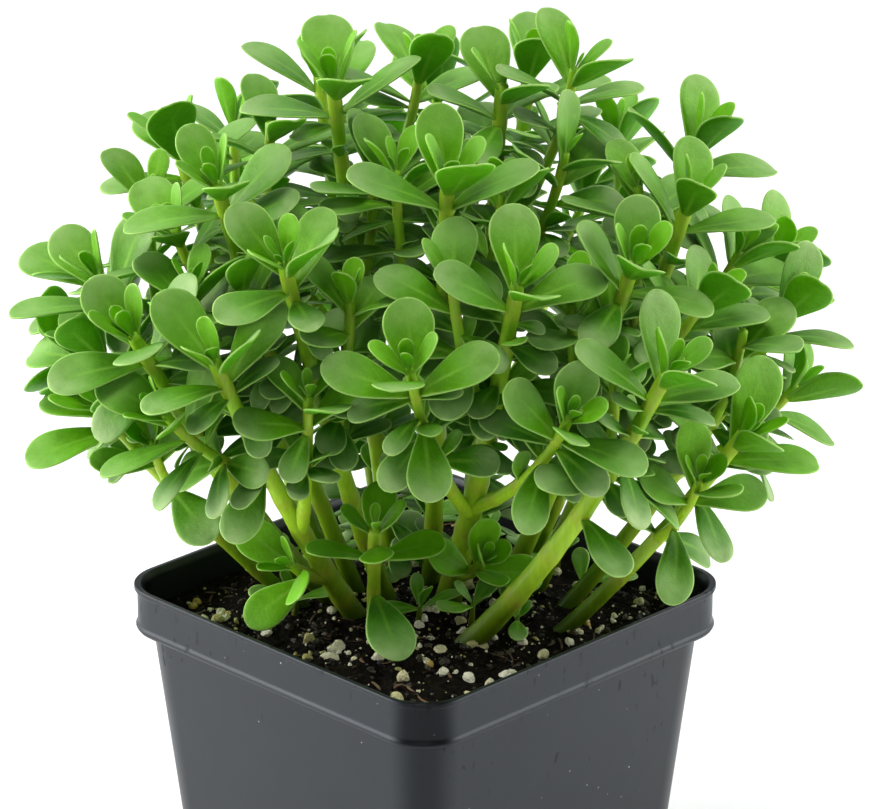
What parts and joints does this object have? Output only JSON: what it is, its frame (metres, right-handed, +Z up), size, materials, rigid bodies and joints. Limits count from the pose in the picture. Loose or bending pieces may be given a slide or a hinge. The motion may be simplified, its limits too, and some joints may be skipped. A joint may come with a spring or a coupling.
{
  "type": "potted portulaca",
  "caption": "Bushy portulaca with fleshy paddle-shaped leaves on branching stems, growing in potting mix in a square plastic nursery pot with a collared rim and a flat base.",
  "frame": {"origin": "middle of the pot's underside, where it rests", "axes": "+Z up; X and Y run along the pot's sides, and the plant's broad side looks over the corner between +X and -Y"},
  "size_m": [0.1774, 0.1751, 0.223],
  "materials": {
    "pot": "satin",
    "potting_mix": "matte",
    "foliage": "satin"
  },
  "bodies": {
    "root": {"pot": "pot", "potting_mix": "potting_mix", "leafy_stem_01": "foliage", "leafy_stem_02": "foliage", "leafy_stem_03": "foliage", "leafy_stem_04": "foliage", "leafy_stem_05": "foliage", "leafy_stem_06": "foliage", "leafy_stem_07": "foliage", "leafy_stem_08": "foliage", "leafy_stem_09": "foliage", "leafy_stem_10": "foliage", "leafy_stem_11": "foliage", "leafy_stem_12": "foliage", "leafy_stem_13": "foliage", "leafy_stem_14": "foliage", "leafy_stem_15": "foliage", "leafy_stem_16": "foliage", "leafy_stem_17": "foliage", "leafy_stem_18": "foliage", "leafy_stem_19": "foliage", "leafy_stem_20": "foliage"}
  },
  "joints": []
}
